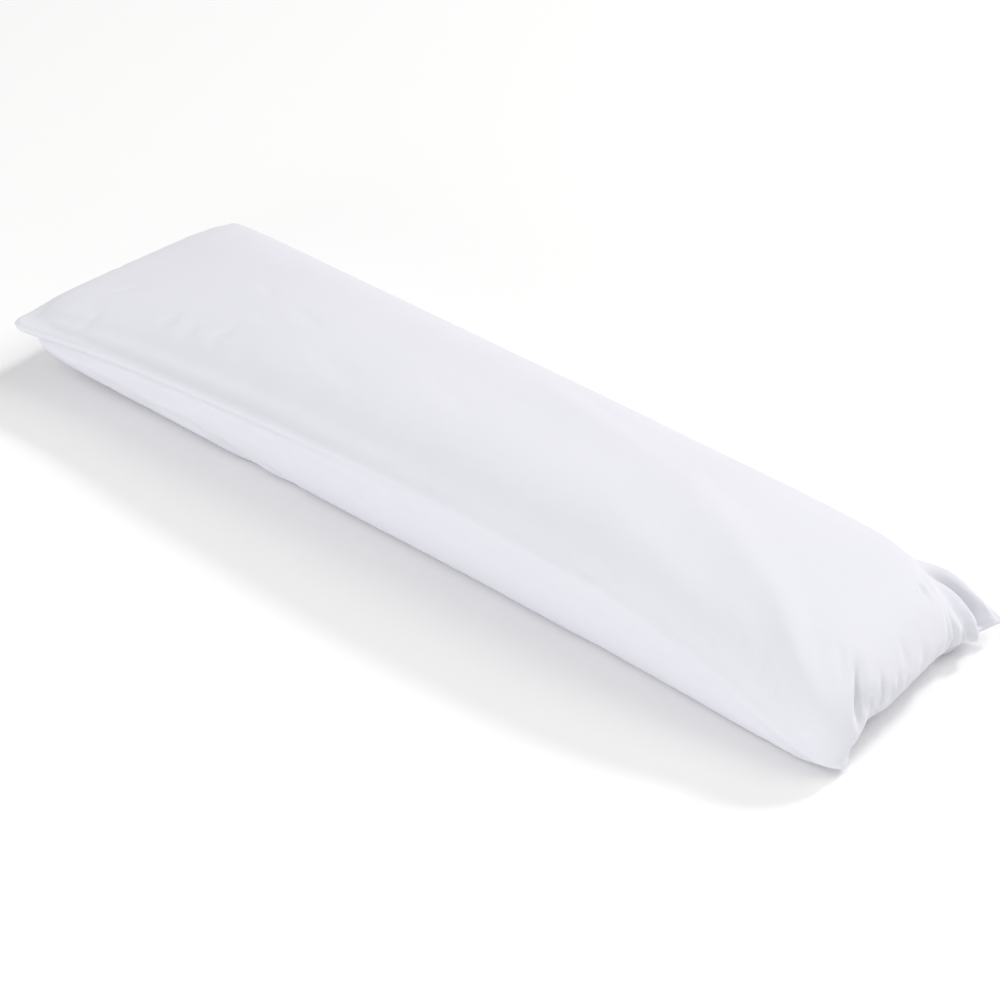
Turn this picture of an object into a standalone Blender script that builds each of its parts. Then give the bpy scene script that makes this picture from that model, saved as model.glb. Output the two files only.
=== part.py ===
import bpy
import math
import numpy as np

# Body pillow: a cotton cover cut about 0.50 m by 1.50 m, sewn round the edge, filled and closed.
# It lies on its underside, rolled a little so that the near side seam rides high.

# Sizes in metres.
coverLength = 1.50
coverWidth = 0.50
floorEasing = 0.020
# how level the belly stays towards its sides, and how far it swells out over them, in bellies
bellyFlatness = 3.6
sideSwell = 0.16
# The seam allowance stands out as a rounded welt with a groove beside it: full up to weltStart from
# the thin end, and down to weltRest of its height by weltEnd. The top panel shows topGroove of the
# groove.
seamWelt = 0.0085
weltWidth = 0.010
seamGroove = 0.0075
grooveWidth = 0.022
topGroove = 0.35
weltStart = 0.42
weltEnd = 0.95
weltRest = 0.25

# One row for each section of the filled cover, from the thin end to the blunt end.
# along: cloth distance from the thin end's seam. x, y, z: place of the near and the far side seam.
# topSwell, underSwell: how far the middle of the panel stands further along than its seams.
# crown, belly: rise of the top panel and fall of the bottom panel from the seam line.
# overhang: how far the top panel bulges out over the near seam.
# nearRound, farRound: 0.5 leaves the seam upright, 1 leaves it on a slope.
# flatness: 2 is a round crown, more keeps the crown level towards its sides.
sectionColumns = (
    "along", "nearX", "farX", "topSwell", "underSwell", "nearY", "nearZ", "farY", "farZ",
    "crown", "belly", "nearRound", "farRound", "flatness", "overhang",
)
sectionRows = (
    (0.000, -0.733, -0.718, -0.004, -0.004, -0.217, 0.095, 0.218, 0.054, 0.000, 0.000, 0.80, 0.60, 5.0, 0.000),
    (0.015, -0.721, -0.704, -0.004, -0.004, -0.218, 0.095, 0.220, 0.054, 0.028, 0.050, 0.60, 0.60, 5.0, 0.000),
    (0.040, -0.695, -0.682, -0.004, 0.000, -0.214, 0.096, 0.222, 0.054, 0.044, 0.082, 0.64, 0.60, 4.8, 0.000),
    (0.095, -0.639, -0.628, 0.000, 0.000, -0.206, 0.099, 0.219, 0.054, 0.059, 0.104, 0.72, 0.62, 4.0, 0.000),
    (0.230, -0.498, -0.494, 0.000, 0.000, -0.197, 0.109, 0.210, 0.055, 0.084, 0.134, 0.76, 0.66, 2.9, 0.000),
    (0.470, -0.258, -0.256, 0.000, 0.000, -0.196, 0.126, 0.200, 0.055, 0.106, 0.157, 0.76, 0.68, 2.3, 0.000),
    (0.780, 0.053, 0.053, 0.000, 0.000, -0.198, 0.138, 0.194, 0.055, 0.112, 0.169, 0.74, 0.68, 2.2, 0.000),
    (1.040, 0.311, 0.311, 0.000, 0.000, -0.199, 0.131, 0.190, 0.054, 0.115, 0.166, 0.72, 0.68, 2.2, 0.000),
    (1.220, 0.490, 0.486, 0.000, 0.000, -0.198, 0.100, 0.191, 0.051, 0.120, 0.142, 0.64, 0.72, 2.2, 0.004),
    (1.345, 0.607, 0.586, 0.008, -0.008, -0.194, 0.054, 0.201, 0.051, 0.119, 0.095, 0.52, 1.05, 2.4, 0.014),
    (1.400, 0.655, 0.630, 0.018, -0.018, -0.190, 0.035, 0.200, 0.048, 0.110, 0.068, 0.46, 1.15, 2.7, 0.024),
    (1.438, 0.681, 0.658, 0.026, -0.032, -0.184, 0.025, 0.198, 0.045, 0.084, 0.048, 0.45, 1.15, 3.2, 0.024),
    (1.470, 0.697, 0.681, 0.022, -0.044, -0.173, 0.017, 0.197, 0.040, 0.050, 0.028, 0.45, 1.10, 4.0, 0.020),
    (1.490, 0.703, 0.697, -0.010, -0.044, -0.163, 0.013, 0.197, 0.033, 0.022, 0.012, 0.50, 0.95, 4.4, 0.010),
    (1.500, 0.703, 0.704, -0.036, -0.036, -0.154, 0.012, 0.197, 0.026, 0.000, 0.000, 0.80, 0.86, 4.4, 0.000),
)

# How sharply the ends turn in towards the corners, on the near and on the far side.
nearCorner = 4.0
farCorner = 1.8

# Corners that the filling doesn't reach, which lie flat as ears: the reach of the ear along the side
# and across the end, and how flat it lies above and below. The cloth is flat up to earCore of that
# reach and full beyond earEdge of it.
earColumns = ("end", "side", "alongReach", "acrossReach", "topFlat", "underFlat")
earRows = (
    (coverLength, "far", 0.165, 0.095, 0.92, 0.40),
    (0.0, "near", 0.060, 0.050, 0.20, 0.10),
)
earCore = 0.40
earEdge = 1.45


def sectionValues(along):
    """Smooth values of every column at the given cloth distances, without overshoot."""
    table = np.array(sectionRows)
    place = table[:, 0]
    step = np.diff(place)
    values = {}
    for index, name in enumerate(sectionColumns):
        height = table[:, index]
        slope = np.diff(height) / step
        tangent = np.zeros_like(height)
        tangent[0] = slope[0]
        tangent[-1] = slope[-1]
        same = slope[:-1] * slope[1:] > 0.0
        before = 2.0 * step[1:] + step[:-1]
        after = step[1:] + 2.0 * step[:-1]
        safe = np.where(same, slope[:-1] * slope[1:], 1.0)
        mean = (before + after) * safe / np.where(same, before * slope[1:] + after * slope[:-1], 1.0)
        tangent[1:-1] = np.where(same, mean, 0.0)
        row = np.clip(np.searchsorted(place, along, side="right") - 1, 0, len(step) - 1)
        part = (along - place[row]) / step[row]
        values[name] = (
            height[row] * (1 + 2 * part) * (1 - part) ** 2
            + tangent[row] * step[row] * part * (1 - part) ** 2
            + height[row + 1] * part ** 2 * (3 - 2 * part)
            - tangent[row + 1] * step[row] * part ** 2 * (1 - part)
        )
    return values


# Soft folds of the cloth, placed on the flat cut panel: along from the thin end's seam, across from
# the near side seam, turned away from the length. depth sinks into the panel, minus stands out.
foldColumns = ("along", "across", "turn", "halfLength", "halfWidth", "depth")
topFolds = (
    # the long soft trough down the crown
    (0.620, 0.225, -6.0, 0.460, 0.055, 0.0045),
    # the crest that leaves the trough and runs down to the near corner of the blunt end
    (0.960, 0.232, -12.0, 0.220, 0.030, -0.0030),
    (1.190, 0.172, -17.0, 0.170, 0.028, -0.0060),
    (1.350, 0.100, -33.0, 0.120, 0.022, -0.0060),
    (1.130, 0.118, -15.0, 0.200, 0.030, 0.0030),
    # the ear at the far corner of the blunt end: its rolled edge, its hollow, the fold that stands up
    # beside it and the pinch between that fold and the filling
    (1.412, 0.484, -1.0, 0.120, 0.010, -0.0160),
    (1.425, 0.456, -3.0, 0.090, 0.012, 0.0280),
    (1.448, 0.424, -5.0, 0.085, 0.010, -0.0170),
    (1.478, 0.358, -3.0, 0.048, 0.017, 0.0240),
    # the crease that parts the near corner from the blunt end, and a short one beside it
    (1.437, 0.114, -50.0, 0.062, 0.007, 0.0120),
    (1.443, 0.126, -50.0, 0.030, 0.005, 0.0050),
    (1.478, 0.112, -30.0, 0.055, 0.026, 0.0090),
    # puckers that run up the blunt end from its seam
    (1.468, 0.122, -30.0, 0.034, 0.005, 0.0045),
    (1.462, 0.146, -34.0, 0.042, 0.005, 0.0055),
    (1.472, 0.160, -24.0, 0.024, 0.004, 0.0040),
    (1.468, 0.178, -30.0, 0.030, 0.005, 0.0035),
    (1.476, 0.201, -14.0, 0.018, 0.005, 0.0030),
    (1.466, 0.246, -32.0, 0.030, 0.008, 0.0020),
    (1.477, 0.283, -20.0, 0.016, 0.006, 0.0020),
    (1.462, 0.322, -14.0, 0.034, 0.006, 0.0040),
    # faint creases higher up
    (1.408, 0.312, -14.0, 0.016, 0.004, 0.0040),
    (1.397, 0.132, -46.0, 0.035, 0.008, 0.0025),
    (1.438, 0.218, -34.0, 0.024, 0.007, 0.0025),
)
undersideFolds = (
    # the fullness under the ear at the far corner of the blunt end
    (1.462, 0.395, -4.0, 0.060, 0.045, -0.0240),
    # the tuck in the side below the near seam, and the fullness above it
    (0.285, 0.062, 10.0, 0.060, 0.008, 0.0090),
    (0.250, 0.046, 8.0, 0.065, 0.014, -0.0060),
    (0.395, 0.092, 30.0, 0.050, 0.014, 0.0060),
    (0.470, 0.096, 30.0, 0.045, 0.012, 0.0050),
    # puckers under the thin end
    (0.020, 0.120, 0.0, 0.050, 0.012, 0.0030),
    (0.020, 0.230, 0.0, 0.050, 0.012, 0.0030),
    (0.020, 0.330, 0.0, 0.050, 0.012, 0.0030),
)

# Columns and rows of the cover's net, closer together where the ends turn over.
bodyColumns = 24
endColumns = 48
endStart = 1.38
rowColumns = ("start", "end", "spacing")
rowStretches = (
    (0.000, 0.030, 0.0075),
    (0.030, 0.150, 0.0150),
    (0.150, 0.300, 0.0300),
    (0.300, 1.260, 0.0480),
    (1.260, 1.380, 0.0150),
    (1.380, 1.500, 0.0075),
)
# narrowest fold that the net can carry, as half of its width
finestFold = 0.009


def seated(height, easing):
    """Height pressed flat on the floor, easing into the rise beside it."""
    eased = (height + easing) ** 2 / (4.0 * np.maximum(easing, 1e-6))
    return np.where(height > easing, height, np.where(height < -easing, 0.0, eased))


def earFlat(along, nearDistance, farDistance, part):
    """How flat the cloth lies in the ears, 0 over the filling, with part the column of that flatness."""
    flat = np.zeros_like(nearDistance)
    for row in earRows:
        ear = dict(zip(earColumns, row))
        across = nearDistance if ear["side"] == "near" else farDistance
        reach = np.hypot((along - ear["end"]) / ear["alongReach"], across / ear["acrossReach"])
        rise = np.clip((reach - earCore) / (earEdge - earCore), 0.0, 1.0)
        flat = np.maximum(flat, ear[part] * (1.0 - rise * rise * (3.0 - 2.0 * rise)))
    return flat


def panelSections(along, panel, fine=240):
    """Fine section curves of one panel, a row for each cloth distance along."""
    value = {name: column[:, None] for name, column in sectionValues(along).items()}
    share = -np.cos(np.linspace(0.0, math.pi, fine + 1))[None, :]
    width = (share + 1.0) / 2.0
    turnIn = 1.0 - np.abs(share) ** (nearCorner * (1.0 - width) + farCorner * width)
    x = value["nearX"] * (1.0 - width) + value["farX"] * width
    y = value["nearY"] * (1.0 - width) + value["farY"] * width
    seamZ = value["nearZ"] * (1.0 - width) + value["farZ"] * width
    part = "topFlat" if panel == "top" else "underFlat"
    full = 1.0 - earFlat(along[:, None], y - value["nearY"], value["farY"] - y, part)
    if panel == "top":
        rounding = value["nearRound"] * (1.0 - width) + value["farRound"] * width
        x = x + np.minimum(value["topSwell"], full * value["topSwell"]) * turnIn
        rise = np.maximum(1.0 - np.abs(share) ** value["flatness"], 0.0) ** rounding
        z = seamZ + full * value["crown"] * rise
        y = y - value["overhang"] * np.sqrt(1.0 - share ** 2) * (1.0 - width) ** 2
    else:
        x = x + value["underSwell"] * turnIn
        drop = full * value["belly"] * np.maximum(1.0 - np.abs(share) ** bellyFlatness, 0.0) ** 0.5
        easing = floorEasing * np.clip(value["belly"] / 0.1, 0.05, 1.0)
        z = np.minimum(seated(seamZ - drop, easing), seamZ)
        side = np.abs(share) ** 3 * np.sqrt(np.maximum(1.0 - share ** 2, 0.0))
        y = y + np.sign(share) * side * sideSwell * value["belly"]
    return np.stack([x + 0 * z, y + 0 * z, z], axis=-1)


def resampled(curve, columns):
    """Points at even cloth distances along a curve, with a close one beside each seam."""
    step = np.linalg.norm(np.diff(curve, axis=0), axis=1)
    reach = np.concatenate([[0.0], np.cumsum(step)])
    total = reach[-1]
    inner = np.linspace(weltWidth, total - weltWidth, columns + 1)
    place = np.concatenate([[0.0, weltWidth / 2.0], inner, [total - weltWidth / 2.0, total]])
    return np.stack([np.interp(place, reach, curve[:, axis]) for axis in range(3)], axis=-1), place


def panelNet(along, columns, panel):
    """Plain net of one panel: its points and their distance across from the near seam."""
    rows = [resampled(curve, columns) for curve in panelSections(along, panel)]
    return np.array([points for points, _ in rows]), np.array([place for _, place in rows])


def foldDepth(along, across, folds):
    """How far the folds sink into a panel at the given cloth distances."""
    depth = np.zeros_like(across)
    for row in folds:
        fold = dict(zip(foldColumns, row))
        angle = math.radians(fold["turn"])
        alongPart = along - fold["along"]
        acrossPart = across - fold["across"]
        run = (alongPart * math.cos(angle) + acrossPart * math.sin(angle)) / fold["halfLength"]
        halfWidth = max(fold["halfWidth"], finestFold)
        side = (acrossPart * math.cos(angle) - alongPart * math.sin(angle)) / halfWidth
        fade = np.maximum(1.0 - run ** 2, 0.0) ** 1.5 * fold["halfWidth"] / halfWidth
        depth += fold["depth"] * fade * (1.0 - 0.5 * side ** 2) * np.exp(-side ** 2 / 1.4)
    return depth


def reliefHeight(along, across, toSeam, panel):
    """How far the welt beside the seam and the folds stand out of a panel."""
    folds = topFolds if panel == "top" else undersideFolds
    sink = foldDepth(along, across, folds) * np.clip(toSeam / weltWidth, 0.0, 1.0)
    fade = np.clip((weltEnd - along) / (weltEnd - weltStart), weltRest, 1.0)
    welt = seamWelt * fade * np.exp(-(toSeam / weltWidth) ** 2)
    groove = seamGroove * fade * np.exp(-((toSeam - grooveWidth) / grooveWidth * 2.0) ** 2)
    return welt - (topGroove * groove if panel == "top" else groove) - sink


def foldedNet(along, columns, panel):
    """Net of one panel with its folds and the welt beside the seam."""
    points, across = panelNet(along, columns, panel)
    normal = np.cross(np.gradient(points, axis=0), np.gradient(points, axis=1))
    if panel == "bottom":
        normal = -normal
    normal /= np.maximum(np.linalg.norm(normal, axis=-1, keepdims=True), 1e-9)
    alongGrid = np.repeat(along[:, None], points.shape[1], axis=1)
    width = across[:, -1:]
    toSeam = np.minimum(np.minimum(alongGrid, coverLength - alongGrid), np.minimum(across, width - across))
    relief = reliefHeight(alongGrid, across / width * coverWidth, toSeam, panel)
    points = points + normal * relief[..., None]
    points[..., 2] = np.maximum(points[..., 2], 0.0)
    return points, across


def rowPlaces():
    """Cloth distances of the net's rows."""
    places = []
    for row in rowStretches:
        stretch = dict(zip(rowColumns, row))
        count = round((stretch["end"] - stretch["start"]) / stretch["spacing"])
        places.extend(np.linspace(stretch["start"], stretch["end"], count + 1)[:-1])
    return np.array(places + [coverLength])


def addCover(name, base, roughness):
    """The closed cover: two folded panels that share the seam round the edge."""
    along = rowPlaces()
    counts = [endColumns if place > endStart else bodyColumns for place in along]
    seam = 2
    points = []
    rows = {"top": [], "bottom": []}
    for panel in ("top", "bottom"):
        nets = {count: foldedNet(along, count, panel)[0] for count in (bodyColumns, endColumns)}
        for index, count in enumerate(counts):
            net = nets[count][index]
            if panel == "bottom" and index in (0, len(along) - 1):
                rows[panel].append(rows["top"][index])
                continue
            row = []
            for column, point in enumerate(net):
                if panel == "bottom" and column in (0, len(net) - 1):
                    row.append(rows["top"][index][column])
                else:
                    row.append(len(points))
                    points.append(point)
            rows[panel].append(row)
    faces = []
    for panel in ("top", "bottom"):
        for lower, upper in zip(rows[panel][:-1], rows[panel][1:]):
            cells = stitchedRows(lower, upper, seam)
            faces.extend(cells if panel == "top" else [cell[::-1] for cell in cells])
    points = np.array(points)
    middle = (points.min(axis=0) + points.max(axis=0)) / 2.0
    points[:, :2] -= middle[:2]
    mesh = bpy.data.meshes.new(name)
    mesh.from_pydata(points.tolist(), [], faces)
    mesh.update()
    mesh.shade_smooth()
    cover = bpy.data.objects.new(name, mesh)
    bpy.context.collection.objects.link(cover)
    cloth = bpy.data.materials.new("whiteCotton")
    cloth.use_nodes = True
    shader = cloth.node_tree.nodes["Principled BSDF"]
    shader.inputs["Base Color"].default_value = base
    shader.inputs["Roughness"].default_value = roughness
    mesh.materials.append(cloth)
    return cover


def stitchedRows(lower, upper, seam):
    """Faces between two rows, where the upper row may have twice the inner columns."""
    if len(lower) == len(upper):
        return [(lower[k], upper[k], upper[k + 1], lower[k + 1]) for k in range(len(lower) - 1)]
    faces = [(lower[k], upper[k], upper[k + 1], lower[k + 1]) for k in range(seam)]
    inner = len(lower) - 1 - 2 * seam
    for k in range(inner):
        near, far = lower[seam + k], lower[seam + k + 1]
        first, middle, last = upper[seam + 2 * k:seam + 2 * k + 3]
        faces.extend([(near, first, middle), (near, middle, far), (far, middle, last)])
    for k in range(seam):
        left, right = len(lower) - 1 - seam + k, len(upper) - 1 - seam + k
        faces.append((lower[left], upper[right], upper[right + 1], lower[left + 1]))
    return faces


for leftover in list(bpy.data.objects):
    bpy.data.objects.remove(leftover, do_unlink=True)
addCover("pillow", (0.83, 0.84, 0.88, 1.0), 0.85)
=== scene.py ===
import math

import bpy
import numpy as np
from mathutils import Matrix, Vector


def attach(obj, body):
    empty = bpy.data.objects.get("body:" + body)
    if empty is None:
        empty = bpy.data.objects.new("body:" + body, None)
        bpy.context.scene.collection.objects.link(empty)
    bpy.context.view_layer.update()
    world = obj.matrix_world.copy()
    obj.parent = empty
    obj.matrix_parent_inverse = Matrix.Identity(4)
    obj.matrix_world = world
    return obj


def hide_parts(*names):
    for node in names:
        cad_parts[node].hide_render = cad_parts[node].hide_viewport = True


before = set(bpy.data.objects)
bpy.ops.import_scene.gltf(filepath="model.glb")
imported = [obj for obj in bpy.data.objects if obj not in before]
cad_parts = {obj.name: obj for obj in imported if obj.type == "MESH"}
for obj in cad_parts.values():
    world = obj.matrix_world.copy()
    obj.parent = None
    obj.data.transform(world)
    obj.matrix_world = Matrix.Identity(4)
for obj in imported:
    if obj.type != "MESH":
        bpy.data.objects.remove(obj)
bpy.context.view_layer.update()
bpy.ops.object.select_all(action="DESELECT")
print("frame loaded")


# Body pillow: two rectangles of white cotton, about 0.50 m by 1.50 m, sewn together round the edge
# and filled. Sizes in metres.

# One row for each section of the filled cover, from the thin end to the blunt end.
# along: cloth distance from the thin end's seam. x, y, z: place of the near and the far side seam.
# topSwell, underSwell: how far the middle of the panel stands further along than its seams.
# crown, belly: rise of the top panel and fall of the bottom panel from the seam line.
# overhang: how far the top panel bulges out over the near seam.
# nearRound, farRound: 0.5 leaves the seam upright, 1 leaves it on a slope.
# flatness: 2 is a round crown, more keeps the crown level towards its sides.
sectionColumns = (
    "along", "nearX", "farX", "topSwell", "underSwell", "nearY", "nearZ", "farY", "farZ",
    "crown", "belly", "nearRound", "farRound", "flatness", "overhang",
)
sectionRows = (
    (0.000, -0.733, -0.718, -0.004, -0.004, -0.217, 0.095, 0.218, 0.054, 0.000, 0.000, 0.80, 0.60, 5.0, 0.000),
    (0.015, -0.721, -0.704, -0.004, -0.004, -0.218, 0.095, 0.220, 0.054, 0.028, 0.050, 0.60, 0.60, 5.0, 0.000),
    (0.040, -0.695, -0.682, -0.004, 0.000, -0.214, 0.096, 0.222, 0.054, 0.044, 0.082, 0.64, 0.60, 4.8, 0.000),
    (0.095, -0.639, -0.628, 0.000, 0.000, -0.206, 0.099, 0.219, 0.054, 0.059, 0.104, 0.72, 0.62, 4.0, 0.000),
    (0.230, -0.498, -0.494, 0.000, 0.000, -0.197, 0.109, 0.210, 0.055, 0.084, 0.134, 0.76, 0.66, 2.9, 0.000),
    (0.470, -0.258, -0.256, 0.000, 0.000, -0.196, 0.126, 0.200, 0.055, 0.106, 0.157, 0.76, 0.68, 2.3, 0.000),
    (0.780, 0.053, 0.053, 0.000, 0.000, -0.198, 0.138, 0.194, 0.055, 0.112, 0.169, 0.74, 0.68, 2.2, 0.000),
    (1.040, 0.311, 0.311, 0.000, 0.000, -0.199, 0.131, 0.190, 0.054, 0.115, 0.166, 0.72, 0.68, 2.2, 0.000),
    (1.220, 0.490, 0.486, 0.000, 0.000, -0.198, 0.100, 0.191, 0.051, 0.120, 0.142, 0.64, 0.72, 2.2, 0.004),
    (1.345, 0.607, 0.586, 0.008, -0.008, -0.194, 0.054, 0.201, 0.051, 0.119, 0.095, 0.52, 1.05, 2.4, 0.014),
    (1.400, 0.655, 0.630, 0.018, -0.018, -0.190, 0.035, 0.200, 0.048, 0.110, 0.068, 0.46, 1.15, 2.7, 0.024),
    (1.438, 0.681, 0.658, 0.026, -0.032, -0.184, 0.025, 0.198, 0.045, 0.084, 0.048, 0.45, 1.15, 3.2, 0.024),
    (1.470, 0.697, 0.681, 0.022, -0.044, -0.173, 0.017, 0.197, 0.040, 0.050, 0.028, 0.45, 1.10, 4.0, 0.020),
    (1.490, 0.703, 0.697, -0.010, -0.044, -0.163, 0.013, 0.197, 0.033, 0.022, 0.012, 0.50, 0.95, 4.4, 0.010),
    (1.500, 0.703, 0.704, -0.036, -0.036, -0.154, 0.012, 0.197, 0.026, 0.000, 0.000, 0.80, 0.86, 4.4, 0.000),
)

# Corners that the filling doesn't reach, which lie flat as ears: the reach of the ear along the side
# and across the end, and how flat it lies above and below. The cloth is flat up to earCore of that
# reach and full beyond earEdge of it.
earColumns = ("end", "side", "alongReach", "acrossReach", "topFlat", "underFlat")
earRows = (
    (1.50, "far", 0.165, 0.095, 0.92, 0.40),
    (0.0, "near", 0.060, 0.050, 0.20, 0.10),
)

# Soft folds of the cloth, placed on the flat cut panel: along from the thin end's seam, across from
# the near side seam, turned away from the length. depth sinks into the panel, minus stands out.
foldColumns = ("along", "across", "turn", "halfLength", "halfWidth", "depth")
topFolds = (
    # the long soft trough down the crown
    (0.620, 0.225, -6.0, 0.460, 0.055, 0.0045),
    # the crest that leaves the trough and runs down to the near corner of the blunt end
    (0.960, 0.232, -12.0, 0.220, 0.030, -0.0030),
    (1.190, 0.172, -17.0, 0.170, 0.028, -0.0060),
    (1.350, 0.100, -33.0, 0.120, 0.022, -0.0060),
    (1.130, 0.118, -15.0, 0.200, 0.030, 0.0030),
    # the ear at the far corner of the blunt end: its rolled edge, its hollow, the fold that stands up
    # beside it and the pinch between that fold and the filling
    (1.412, 0.484, -1.0, 0.120, 0.010, -0.0160),
    (1.425, 0.456, -3.0, 0.090, 0.012, 0.0280),
    (1.448, 0.424, -5.0, 0.085, 0.010, -0.0170),
    (1.478, 0.358, -3.0, 0.048, 0.017, 0.0240),
    # the crease that parts the near corner from the blunt end, and a short one beside it
    (1.437, 0.114, -50.0, 0.062, 0.007, 0.0120),
    (1.443, 0.126, -50.0, 0.030, 0.005, 0.0050),
    (1.478, 0.112, -30.0, 0.055, 0.026, 0.0090),
    # puckers that run up the blunt end from its seam
    (1.468, 0.122, -30.0, 0.034, 0.005, 0.0045),
    (1.462, 0.146, -34.0, 0.042, 0.005, 0.0055),
    (1.472, 0.160, -24.0, 0.024, 0.004, 0.0040),
    (1.468, 0.178, -30.0, 0.030, 0.005, 0.0035),
    (1.476, 0.201, -14.0, 0.018, 0.005, 0.0030),
    (1.466, 0.246, -32.0, 0.030, 0.008, 0.0020),
    (1.477, 0.283, -20.0, 0.016, 0.006, 0.0020),
    (1.462, 0.322, -14.0, 0.034, 0.006, 0.0040),
    # faint creases higher up
    (1.408, 0.312, -14.0, 0.016, 0.004, 0.0040),
    (1.397, 0.132, -46.0, 0.035, 0.008, 0.0025),
    (1.438, 0.218, -34.0, 0.024, 0.007, 0.0025),
)
undersideFolds = (
    # the fullness under the ear at the far corner of the blunt end
    (1.462, 0.395, -4.0, 0.060, 0.045, -0.0240),
    # the tuck in the side below the near seam, and the fullness above it
    (0.285, 0.062, 10.0, 0.060, 0.008, 0.0090),
    (0.250, 0.046, 8.0, 0.065, 0.014, -0.0060),
    (0.395, 0.092, 30.0, 0.050, 0.014, 0.0060),
    (0.470, 0.096, 30.0, 0.045, 0.012, 0.0050),
    # puckers under the thin end
    (0.020, 0.120, 0.0, 0.050, 0.012, 0.0030),
    (0.020, 0.230, 0.0, 0.050, 0.012, 0.0030),
    (0.020, 0.330, 0.0, 0.050, 0.012, 0.0030),
)

# Finer creases of the thin cloth, too small for the solid, with the same columns.
fineTopFolds = (
    # short slack creases that run up from the near seam
    (1.042, 0.014, -12.0, 0.022, 0.004, 0.0012),
    (1.068, 0.040, -32.0, 0.036, 0.004, 0.0016),
    (1.156, 0.024, -40.0, 0.026, 0.004, 0.0014),
    (1.200, 0.050, -30.0, 0.030, 0.005, 0.0012),
    (1.244, 0.036, -32.0, 0.026, 0.004, 0.0016),
    (1.280, 0.060, -44.0, 0.030, 0.004, 0.0014),
    (1.314, 0.062, -60.0, 0.030, 0.005, 0.0022),
    (1.345, 0.048, -56.0, 0.024, 0.004, 0.0014),
    # rumples over the thin end
    (0.118, 0.125, 46.0, 0.030, 0.007, 0.0016),
    (0.226, 0.090, 62.0, 0.030, 0.007, 0.0018),
    (0.246, 0.082, 58.0, 0.024, 0.006, -0.0012),
    (0.271, 0.080, 60.0, 0.026, 0.007, 0.0018),
    (0.303, 0.222, -36.0, 0.034, 0.010, 0.0014),
    (0.326, 0.100, 66.0, 0.032, 0.010, 0.0020),
    (0.366, 0.150, 10.0, 0.040, 0.012, 0.0016),
    (0.415, 0.185, -20.0, 0.060, 0.014, 0.0018),
    (0.520, 0.120, -14.0, 0.080, 0.016, 0.0016),
    (0.700, 0.160, -16.0, 0.090, 0.018, 0.0020),
    (0.850, 0.300, -14.0, 0.110, 0.020, 0.0014),
    # fine gathers at the blunt end's seam
    (1.486, 0.098, -24.0, 0.016, 0.003, 0.0016),
    (1.480, 0.134, -36.0, 0.018, 0.003, 0.0022),
    (1.484, 0.154, -26.0, 0.016, 0.003, 0.0022),
    (1.480, 0.173, -32.0, 0.018, 0.003, 0.0020),
    (1.486, 0.196, -18.0, 0.014, 0.003, 0.0020),
    (1.482, 0.224, -30.0, 0.018, 0.004, 0.0018),
    (1.486, 0.254, -16.0, 0.014, 0.003, 0.0016),
    (1.478, 0.288, -26.0, 0.020, 0.004, 0.0020),
    (1.484, 0.334, -8.0, 0.018, 0.003, 0.0024),
    (1.486, 0.398, 0.0, 0.016, 0.004, 0.0040),
    (1.486, 0.412, 4.0, 0.016, 0.003, 0.0030),
    (1.484, 0.430, 2.0, 0.018, 0.003, 0.0030),
    (1.405, 0.330, -20.0, 0.022, 0.004, 0.0024),
    (1.392, 0.352, -14.0, 0.020, 0.004, 0.0020),
)
fineUnderFolds = (
    (1.036, 0.049, 50.0, 0.026, 0.005, 0.0016),
    (0.640, 0.050, 40.0, 0.036, 0.007, 0.0014),
    (0.820, 0.046, 34.0, 0.040, 0.007, 0.0014),
    (0.305, 0.074, 4.0, 0.036, 0.004, 0.0030),
    (0.160, 0.050, 12.0, 0.044, 0.007, 0.0018),
)

coverSettings = {
    "coverLength": 1.50,     # cut length of a panel
    "coverWidth": 0.50,      # cut width of a panel
    "columns": 62,           # columns across a panel, between the two beside each seam
    "seamWelt": 0.0085,      # the seam allowance stands out as a rounded welt with a groove beside it
    "weltWidth": 0.010,
    "seamGroove": 0.0075,
    "grooveWidth": 0.022,
    "topGroove": 0.35,       # share of the groove that the top panel shows
    "weltStart": 0.42,       # the welt is full up to here from the thin end
    "weltEnd": 0.95,         # and down to its rest by here
    "weltRest": 0.25,
    "bellyFlatness": 3.6,    # how level the belly stays towards its sides
    "sideSwell": 0.16,       # how far it swells out over them, in bellies
    "floorEasing": 0.020,
    "nearCorner": 4.0,       # how sharply the ends turn in towards the corners
    "farCorner": 1.8,
    "earCore": 0.40,         # an ear is flat up to this share of its reach, and full beyond earEdge
    "earEdge": 1.45,
    "pressure": 3.0,
    "frames": 20,
    "hold": 0.10,            # how firmly the cloth is held at its plain shape, 1 on the floor
    "swellRounds": 20,       # rounds of averaging that part the swell from the wrinkles
    "cap": 0.006,            # furthest that the wrinkles may move the cloth
    "cutLift": 0.001,        # the flat cut panels lie this far from the plane between them
    "restingHeight": 0.0008, # lower points lie on the floor
}
# how the cotton moves in the short simulation: light, hard to stretch and easy to bend
clothBehaviour = {
    "quality": 6,
    "mass": 0.05,
    "tension_stiffness": 12.0,
    "compression_stiffness": 12.0,
    "shear_stiffness": 4.0,
    "bending_stiffness": 0.05,
    "pin_stiffness": 1.0,
}
# rows closer together at the ends: from, to, spacing
rowStretches = ((0.0, 0.12, 0.0055), (0.12, 1.33, 0.0105), (1.33, 1.50, 0.0050))


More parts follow.
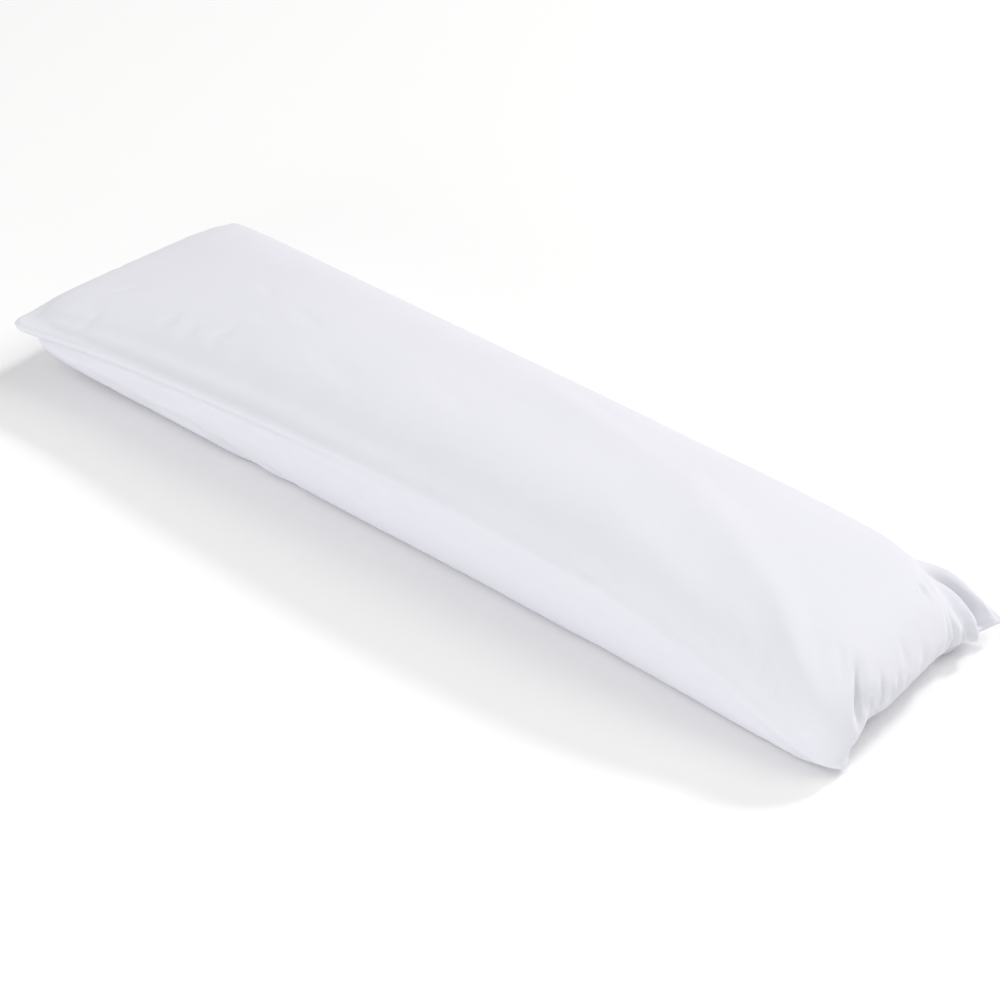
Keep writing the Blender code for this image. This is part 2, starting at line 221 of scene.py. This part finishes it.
def sectionValues(along):
    # smooth values of every column at the given cloth distances, without overshoot
    table = np.array(sectionRows)
    place = table[:, 0]
    step = np.diff(place)
    values = {}
    for index, name in enumerate(sectionColumns):
        height = table[:, index]
        slope = np.diff(height) / step
        tangent = np.zeros_like(height)
        tangent[0] = slope[0]
        tangent[-1] = slope[-1]
        same = slope[:-1] * slope[1:] > 0.0
        before = 2.0 * step[1:] + step[:-1]
        after = step[1:] + 2.0 * step[:-1]
        safe = np.where(same, slope[:-1] * slope[1:], 1.0)
        mean = (before + after) * safe / np.where(same, before * slope[1:] + after * slope[:-1], 1.0)
        tangent[1:-1] = np.where(same, mean, 0.0)
        row = np.clip(np.searchsorted(place, along, side="right") - 1, 0, len(step) - 1)
        part = (along - place[row]) / step[row]
        values[name] = (
            height[row] * (1 + 2 * part) * (1 - part) ** 2
            + tangent[row] * step[row] * part * (1 - part) ** 2
            + height[row + 1] * part ** 2 * (3 - 2 * part)
            - tangent[row + 1] * step[row] * part ** 2 * (1 - part)
        )
    return values


def seated(height, easing):
    # height pressed flat on the floor, easing into the rise beside it
    eased = (height + easing) ** 2 / (4.0 * np.maximum(easing, 1e-6))
    return np.where(height > easing, height, np.where(height < -easing, 0.0, eased))


def earFlat(along, nearDistance, farDistance, part):
    # how flat the cloth lies in the ears, 0 over the filling, with part the column of that flatness
    size = coverSettings
    flat = np.zeros_like(nearDistance)
    for row in earRows:
        ear = dict(zip(earColumns, row))
        across = nearDistance if ear["side"] == "near" else farDistance
        reach = np.hypot((along - ear["end"]) / ear["alongReach"], across / ear["acrossReach"])
        rise = np.clip((reach - size["earCore"]) / (size["earEdge"] - size["earCore"]), 0.0, 1.0)
        flat = np.maximum(flat, ear[part] * (1.0 - rise * rise * (3.0 - 2.0 * rise)))
    return flat


def panelSections(along, panel, fine=240):
    # fine section curves of one panel, a row for each cloth distance along
    size = coverSettings
    value = {name: column[:, None] for name, column in sectionValues(along).items()}
    share = -np.cos(np.linspace(0.0, math.pi, fine + 1))[None, :]
    width = (share + 1.0) / 2.0
    turnIn = 1.0 - np.abs(share) ** (size["nearCorner"] * (1.0 - width) + size["farCorner"] * width)
    x = value["nearX"] * (1.0 - width) + value["farX"] * width
    y = value["nearY"] * (1.0 - width) + value["farY"] * width
    seamZ = value["nearZ"] * (1.0 - width) + value["farZ"] * width
    part = "topFlat" if panel == "top" else "underFlat"
    full = 1.0 - earFlat(along[:, None], y - value["nearY"], value["farY"] - y, part)
    if panel == "top":
        rounding = value["nearRound"] * (1.0 - width) + value["farRound"] * width
        x = x + np.minimum(value["topSwell"], full * value["topSwell"]) * turnIn
        rise = np.maximum(1.0 - np.abs(share) ** value["flatness"], 0.0) ** rounding
        z = seamZ + full * value["crown"] * rise
        y = y - value["overhang"] * np.sqrt(1.0 - share ** 2) * (1.0 - width) ** 2
    else:
        x = x + value["underSwell"] * turnIn
        drop = full * value["belly"] * np.maximum(1.0 - np.abs(share) ** size["bellyFlatness"], 0.0) ** 0.5
        easing = size["floorEasing"] * np.clip(value["belly"] / 0.1, 0.05, 1.0)
        z = np.minimum(seated(seamZ - drop, easing), seamZ)
        side = np.abs(share) ** 3 * np.sqrt(np.maximum(1.0 - share ** 2, 0.0))
        y = y + np.sign(share) * side * size["sideSwell"] * value["belly"]
    return np.stack([x + 0 * z, y + 0 * z, z], axis=-1)


def resampled(curve, columns):
    # points at even cloth distances along a curve, with a close one beside each seam
    size = coverSettings
    step = np.linalg.norm(np.diff(curve, axis=0), axis=1)
    reach = np.concatenate([[0.0], np.cumsum(step)])
    total = reach[-1]
    inner = np.linspace(size["weltWidth"], total - size["weltWidth"], columns + 1)
    place = np.concatenate([[0.0, size["weltWidth"] / 2.0], inner, [total - size["weltWidth"] / 2.0, total]])
    return np.stack([np.interp(place, reach, curve[:, axis]) for axis in range(3)], axis=-1), place


def panelNet(along, columns, panel):
    # plain net of one panel: its points and their distance across from the near seam
    rows = [resampled(curve, columns) for curve in panelSections(along, panel)]
    return np.array([points for points, _ in rows]), np.array([place for _, place in rows])


def foldDepth(along, across, folds):
    # how far the folds sink into a panel at the given cloth distances
    depth = np.zeros_like(across)
    for row in folds:
        fold = dict(zip(foldColumns, row))
        angle = math.radians(fold["turn"])
        alongPart = along - fold["along"]
        acrossPart = across - fold["across"]
        run = (alongPart * math.cos(angle) + acrossPart * math.sin(angle)) / fold["halfLength"]
        side = (acrossPart * math.cos(angle) - alongPart * math.sin(angle)) / fold["halfWidth"]
        fade = np.maximum(1.0 - run ** 2, 0.0) ** 1.5
        depth += fold["depth"] * fade * (1.0 - 0.5 * side ** 2) * np.exp(-side ** 2 / 1.4)
    return depth


def reliefHeight(along, across, toSeam, panel):
    # how far the welt beside the seam and the folds stand out of a panel
    size = coverSettings
    folds = topFolds if panel == "top" else undersideFolds
    sink = foldDepth(along, across, folds) * np.clip(toSeam / size["weltWidth"], 0.0, 1.0)
    fade = np.clip((size["weltEnd"] - along) / (size["weltEnd"] - size["weltStart"]), size["weltRest"], 1.0)
    welt = size["seamWelt"] * fade * np.exp(-(toSeam / size["weltWidth"]) ** 2)
    fromGroove = (toSeam - size["grooveWidth"]) / size["grooveWidth"] * 2.0
    groove = size["seamGroove"] * fade * np.exp(-fromGroove ** 2)
    return welt - (size["topGroove"] * groove if panel == "top" else groove) - sink


def cutCover():
    # the cover's mesh at its plain filled shape, without folds
    columns = coverSettings["columns"]
    along = np.concatenate([
        np.linspace(start, end, round((end - start) / spacing) + 1)[:-1]
        for start, end, spacing in rowStretches
    ] + [[coverSettings["coverLength"]]])
    shape = (len(along), columns + 5)
    plain, flat = [], []
    panels = {}
    for panel in ("top", "bottom"):
        net, across = panelNet(along, columns, panel)
        numbers = np.zeros(shape, dtype=int)
        for row, column in np.ndindex(shape):
            edge = row in (0, shape[0] - 1) or column in (0, shape[1] - 1)
            if panel == "bottom" and edge:
                numbers[row, column] = panels["top"][row, column]
                continue
            numbers[row, column] = len(plain)
            plain.append(net[row, column])
            side = 1.0 if panel == "top" else -1.0
            lift = 0.0 if edge else side * coverSettings["cutLift"]
            onCloth = across[row, column] / across[row, -1] * coverSettings["coverWidth"]
            flat.append((along[row], onCloth, lift))
        panels[panel] = numbers
    plain, flat = np.array(plain), np.array(flat)
    faces = []
    for panel, n in panels.items():
        cells = np.stack([n[:-1, :-1], n[1:, :-1], n[1:, 1:], n[:-1, 1:]], axis=-1).reshape(-1, 4)
        faces.extend((cells if panel == "top" else cells[:, ::-1]).tolist())
    mesh = bpy.data.meshes.new("pillowCover")
    mesh.from_pydata(plain.tolist(), [], faces)
    mesh.update()
    cover = bpy.data.objects.new("pillowCover", mesh)
    bpy.context.collection.objects.link(cover)
    layer = mesh.uv_layers.new(name="cloth")
    loops = np.zeros(len(mesh.loops), dtype=int)
    mesh.loops.foreach_get("vertex_index", loops)
    layer.data.foreach_set("uv", flat[loops][:, :2].ravel())
    return cover, plain, flat, panels


def simulated(cover, plain, flat):
    # how far the pressure of the filling moves the flat cut cloth from its plain shape
    cover.shape_key_add(name="filled")
    cut = cover.shape_key_add(name="cutCloth")
    cut.data.foreach_set("co", flat.ravel())
    cut.value = 0.0
    hold = cover.vertex_groups.new(name="hold")
    resting = plain[:, 2] < coverSettings["restingHeight"]
    for number in range(len(plain)):
        hold.add([number], 1.0 if resting[number] else coverSettings["hold"], "REPLACE")
    filling = cover.modifiers.new("filling", "CLOTH")
    settings = filling.settings
    for name, value in clothBehaviour.items():
        setattr(settings, name, value)
    settings.use_pressure = True
    settings.uniform_pressure_force = coverSettings["pressure"]
    settings.vertex_group_mass = "hold"
    settings.rest_shape_key = cut
    settings.effector_weights.gravity = 0.0
    filling.collision_settings.use_collision = False
    filling.point_cache.frame_start = 1
    filling.point_cache.frame_end = coverSettings["frames"]
    for number in range(1, coverSettings["frames"] + 1):
        bpy.context.scene.frame_set(number)
    depsgraph = bpy.context.evaluated_depsgraph_get()
    result = cover.evaluated_get(depsgraph).to_mesh()
    moved = np.zeros(len(plain) * 3)
    result.vertices.foreach_get("co", moved)
    cover.evaluated_get(depsgraph).to_mesh_clear()
    cover.modifiers.remove(filling)
    cover.shape_key_clear()
    cover.vertex_groups.clear()
    bpy.context.scene.frame_set(1)
    return moved.reshape(-1, 3) - plain


def wrinkles(shift, panels):
    # the wrinkles of the filled cloth without its swell: each move less the mean of those around it
    left = shift.copy()
    for numbers in panels.values():
        mean = shift[numbers]
        for _ in range(coverSettings["swellRounds"]):
            for axis in (0, 1):
                last = mean.shape[axis] - 1
                before = mean.take([0] + list(range(last)), axis)
                after = mean.take(list(range(1, last + 1)) + [last], axis)
                mean = (before + 2.0 * mean + after) / 4.0
        inner = numbers[1:-1, 1:-1]
        left[inner] = (shift[numbers] - mean)[1:-1, 1:-1]
        rim = np.concatenate([numbers[0], numbers[-1], numbers[:, 0], numbers[:, -1]])
        left[rim] = 0.0
    length = np.linalg.norm(left, axis=1)
    print("wrinkles by up to", round(float(length.max()), 4), "mean", round(float(length.mean()), 5))
    return left * np.minimum(1.0, coverSettings["cap"] / np.maximum(length, 1e-9))[:, None]


def addRelief(cover):
    # folds, welt and fine creases, from the place of every point on the cut cloth
    size = coverSettings
    mesh = cover.data
    count = len(mesh.vertices)
    loops = np.zeros(len(mesh.loops), dtype=int)
    mesh.loops.foreach_get("vertex_index", loops)
    places = np.zeros(len(mesh.loops) * 2)
    mesh.uv_layers["cloth"].data.foreach_get("uv", places)
    onCloth = np.zeros((count, 2))
    onCloth[loops] = places.reshape(-1, 2)
    isTop = np.zeros(count, dtype=bool)
    isTop[loops[:len(loops) // 2]] = True
    normals = np.zeros(count * 3)
    mesh.vertices.foreach_get("normal", normals)
    points = np.zeros(count * 3)
    mesh.vertices.foreach_get("co", points)
    points = points.reshape(-1, 3)
    for panel, chosen, fine in (("top", isTop, fineTopFolds), ("bottom", ~isTop, fineUnderFolds)):
        along, across = onCloth[chosen].T
        toSeam = np.minimum(
            np.minimum(along, size["coverLength"] - along), np.minimum(across, size["coverWidth"] - across)
        )
        toSeam = np.maximum(toSeam, 0.0)
        height = reliefHeight(along, across, toSeam, panel)
        height -= foldDepth(along, across, fine) * np.clip(toSeam / size["weltWidth"], 0.0, 1.0)
        points[chosen] += normals.reshape(-1, 3)[chosen] * height[:, None]
    points[:, :2] -= (points[:, :2].min(axis=0) + points[:, :2].max(axis=0)) / 2.0
    points[:, 2] = np.maximum(points[:, 2], 0.0)
    mesh.vertices.foreach_set("co", points.ravel())
    mesh.update()


def addNode(tree, kind, settings=None, links=None):
    node = tree.nodes.new(kind)
    for name, value in (settings or {}).items():
        if isinstance(name, str) and hasattr(node, name):
            setattr(node, name, value)
        else:
            node.inputs[name].default_value = value
    for name, source in (links or {}).items():
        tree.links.new(source, node.inputs[name])
    return node


def linear(hexColour):
    # sRGB hex to the linear colour that a shader takes
    parts = [int(hexColour[start:start + 2], 16) / 255.0 for start in (1, 3, 5)]
    return [part / 12.92 if part <= 0.04045 else ((part + 0.055) / 1.055) ** 2.4 for part in parts] + [1.0]


# Cotton percale, woven smooth and bleached: matt, with a faint sheen and a soft crumple.
cottonSettings = {
    "colour": "#e5e5ec",
    "shade": "#e1e1e9",
    "roughness": 0.85,
    "sheen": 0.15,
    "sheenRoughness": 0.45,
    "specular": 0.25,
    "toneScale": 6.0,        # faint changes from colour to shade, six to the metre
    "crumple": 0.035,        # size of the soft crumples, and their height and strength
    "crumpleHeight": 0.004,
    "crumpleStrength": 0.25,
    "thread": 0.0006,        # real threads are about 0.2 mm, drawn coarser so that they show close up
    "threadHeight": 0.0002,
    "threadStrength": 0.08,
    "waveScale": 0.31,       # scale at which the wave texture repeats once in a metre
}


def percaleCotton():
    cotton = cottonSettings
    material = bpy.data.materials.new("percaleCotton")
    material.use_nodes = True
    tree = material.node_tree
    tree.nodes.clear()
    output = addNode(tree, "ShaderNodeOutputMaterial")
    shader = addNode(tree, "ShaderNodeBsdfPrincipled", {
        "Roughness": cotton["roughness"], "Sheen Weight": cotton["sheen"],
        "Sheen Roughness": cotton["sheenRoughness"], "Specular IOR Level": cotton["specular"],
    })
    tree.links.new(shader.outputs["BSDF"], output.inputs["Surface"])
    place = addNode(tree, "ShaderNodeTexCoord")
    tone = addNode(tree, "ShaderNodeTexNoise", {
        "Scale": cotton["toneScale"], "Detail": 3.0,
    }, {"Vector": place.outputs["Object"]})
    colour = addNode(tree, "ShaderNodeMix", {"data_type": "RGBA"}, {0: tone.outputs["Fac"]})
    colour.inputs[6].default_value = linear(cotton["colour"])
    colour.inputs[7].default_value = linear(cotton["shade"])
    tree.links.new(colour.outputs[2], shader.inputs["Base Color"])
    crumple = addNode(tree, "ShaderNodeTexNoise", {
        "Scale": 1.0 / cotton["crumple"], "Detail": 3.0, "Roughness": 0.45,
    }, {"Vector": place.outputs["Object"]})
    soft = addNode(tree, "ShaderNodeBump", {
        "Strength": cotton["crumpleStrength"], "Distance": cotton["crumpleHeight"],
    }, {"Height": crumple.outputs["Fac"]})
    cloth = addNode(tree, "ShaderNodeUVMap", {"uv_map": "cloth"})
    waves = []
    for direction in ("X", "Y"):
        waves.append(addNode(tree, "ShaderNodeTexWave", {
            "bands_direction": direction, "Scale": cotton["waveScale"] / cotton["thread"] / 2.0,
            "Distortion": 0.3, "Detail": 1.0,
        }, {"Vector": cloth.outputs["UV"]}))
    weave = addNode(tree, "ShaderNodeMath", {"operation": "MULTIPLY"}, {
        0: waves[0].outputs["Fac"], 1: waves[1].outputs["Fac"],
    })
    fine = addNode(tree, "ShaderNodeBump", {
        "Strength": cotton["threadStrength"], "Distance": cotton["threadHeight"],
    }, {"Height": weave.outputs["Value"], "Normal": soft.outputs["Normal"]})
    tree.links.new(fine.outputs["Normal"], shader.inputs["Normal"])
    return material


cover, plain, flat, panels = cutCover()
print("cover cut and shaped:", len(cover.data.polygons), "faces")
filled = plain + wrinkles(simulated(cover, plain, flat), panels)
cover.data.vertices.foreach_set("co", filled.ravel())
cover.data.update()
print("cover filled")
bpy.context.view_layer.objects.active = cover
cover.select_set(True)
smooth = cover.modifiers.new("smooth", "SUBSURF")
smooth.levels = smooth.render_levels = 1
bpy.ops.object.modifier_apply(modifier="smooth")
addRelief(cover)
print("folds and welt sunk")
bpy.ops.object.shade_smooth()
cover.data.materials.append(percaleCotton())
cover.select_set(False)
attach(cover, "root")
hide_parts("pillow")
print("cover finished:", len(cover.data.polygons), "faces")


# Studio: a white floor, a soft key far off behind the far side, a broad warm softbox above the blunt
# end, a softbox above the near side, low fills in front of the near side and of the blunt end, and an
# even white sky.
studioSettings = {
    "floorColour": "#fafafa",
    "aim": (0.0, 0.0, 0.1),
    "skyStrength": 0.50,
    "azimuth": 39.9,
    "elevation": 37.0,
    "distance": 4.66,
    "lens": 123.0,
    "target": (0.081, -0.082, 0.080),
    "floorSize": 30.0,
    "sensorWidth": 36.0,
}
lightColumns = ("name", "power", "size", "place", "colour")
lightRows = (
    ("keyLight", 500.0, 1.8, (1.9, 9.0, 7.8), (1.0, 1.0, 1.0)),
    ("topSoftbox", 80.0, 3.6, (2.4, 1.9, 4.4), (1.0, 0.985, 0.955)),
    ("frontSoftbox", 34.0, 2.4, (-1.5, -3.0, 4.0), (1.0, 1.0, 1.0)),
    ("frontFill", 60.0, 2.4, (0.3, -5.0, 0.95), (1.0, 1.0, 1.0)),
    ("sideFill", 18.0, 2.0, (3.5, -3.5, 1.0), (1.0, 1.0, 1.0)),
)


def addLight(row):
    light = dict(zip(lightColumns, row))
    data = bpy.data.lights.new(light["name"], "AREA")
    data.energy = light["power"]
    data.shape = "DISK"
    data.size = light["size"]
    data.color = light["colour"]
    lamp = bpy.data.objects.new(light["name"], data)
    bpy.context.collection.objects.link(lamp)
    lamp.location = light["place"]
    lamp.rotation_euler = (Vector(studioSettings["aim"]) - lamp.location).to_track_quat("-Z", "Y").to_euler()


def addStudio():
    bpy.ops.mesh.primitive_plane_add(size=studioSettings["floorSize"], location=(0.0, 0.0, 0.0))
    floor = bpy.context.object
    floor.name = "floor"
    # white paper: matt and without a shine, so that only the pillow's shadow shows on it
    white = bpy.data.materials.new("whitePaperFloor")
    white.use_nodes = True
    shader = white.node_tree.nodes["Principled BSDF"]
    shader.inputs["Base Color"].default_value = linear(studioSettings["floorColour"])
    shader.inputs["Roughness"].default_value = 1.0
    shader.inputs["Specular IOR Level"].default_value = 0.0
    floor.data.materials.append(white)
    floor.select_set(False)
    for row in lightRows:
        addLight(row)
    sky = bpy.data.worlds.new("sky")
    sky.use_nodes = True
    sky.node_tree.nodes["Background"].inputs["Color"].default_value = (1.0, 1.0, 1.0, 1.0)
    sky.node_tree.nodes["Background"].inputs["Strength"].default_value = studioSettings["skyStrength"]
    bpy.context.scene.world = sky
    bpy.context.scene.view_settings.view_transform = "Standard"


def addCamera():
    turn, rise = math.radians(studioSettings["azimuth"]), math.radians(studioSettings["elevation"])
    back = Vector((math.sin(turn) * math.cos(rise), -math.cos(turn) * math.cos(rise), math.sin(rise)))
    data = bpy.data.cameras.new("camera")
    data.lens = studioSettings["lens"]
    data.sensor_width = studioSettings["sensorWidth"]
    camera = bpy.data.objects.new("camera", data)
    bpy.context.collection.objects.link(camera)
    camera.location = Vector(studioSettings["target"]) + back * studioSettings["distance"]
    camera.rotation_euler = (-back).to_track_quat("-Z", "Y").to_euler()
    bpy.context.scene.camera = camera


addStudio()
addCamera()
print("studio ready")
